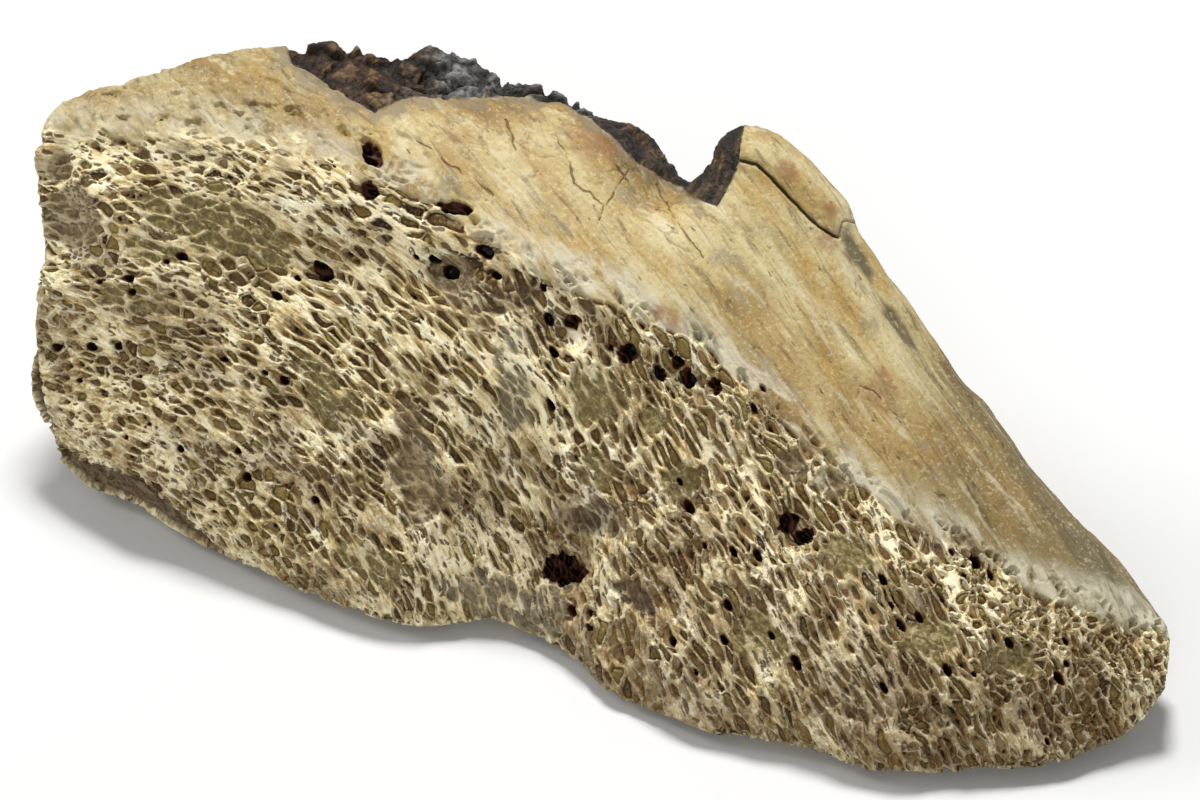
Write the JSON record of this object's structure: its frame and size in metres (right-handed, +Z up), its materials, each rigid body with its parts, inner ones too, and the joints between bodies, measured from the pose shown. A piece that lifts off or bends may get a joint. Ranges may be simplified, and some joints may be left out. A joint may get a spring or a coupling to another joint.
{
  "type": "fossil bone fragment",
  "caption": "Broken wedge of fossil leg bone: smooth tan outer wall above a coarse spongy front, with a dark lumpy crust at the back.",
  "frame": {"origin": "centre of the bounding box's bottom face, on the flat spot that the fragment rests on", "axes": "+X along the bone's long axis towards the thin end, -Y towards the spongy broken front, +Z up"},
  "size_m": [0.114, 0.0444, 0.0351],
  "materials": {
    "fossil_bone": "satin"
  },
  "bodies": {
    "root": {"bone_fragment": "fossil_bone"}
  },
  "joints": []
}
